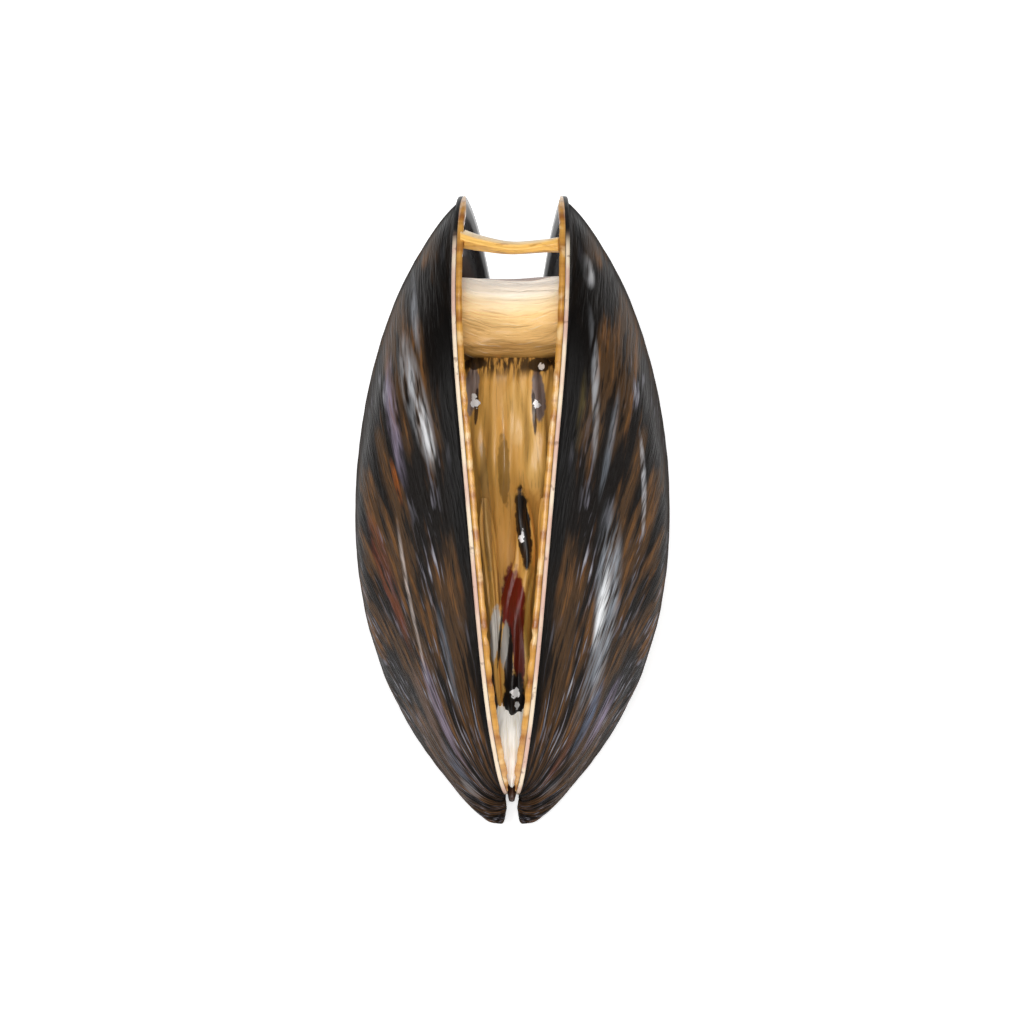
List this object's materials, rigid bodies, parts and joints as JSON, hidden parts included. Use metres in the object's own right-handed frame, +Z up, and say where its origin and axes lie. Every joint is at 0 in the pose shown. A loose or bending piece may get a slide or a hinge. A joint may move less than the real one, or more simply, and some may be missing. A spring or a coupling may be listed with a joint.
{
  "type": "open mussel with meat",
  "caption": "Gaping mussel: dark valves joined at a hinge hold a mantle lining, adductor muscles, a soft golden body, a foot and gills.",
  "frame": {"origin": "centre of the bounding box's foot, on the surface the mussel lies on", "axes": "+X towards the right valve, +Y along the hinge line from the beaks to the posterior end, +Z up"},
  "size_m": [0.0372, 0.0684, 0.0414],
  "materials": {
    "shell": "glossy",
    "mantle": "wet",
    "muscle": "wet",
    "meat": "wet",
    "foot": "wet",
    "gill": "wet",
    "ligament": "satin"
  },
  "bodies": {
    "root": {"left_valve": "shell", "right_valve": "shell", "ligament": "ligament", "left_mantle": "mantle", "right_mantle": "mantle", "posterior_muscle": "muscle", "anterior_muscle": "muscle", "siphon_bridge": "mantle", "body": "meat", "foot": "foot", "left_gill": "gill", "right_gill": "gill"}
  },
  "joints": []
}
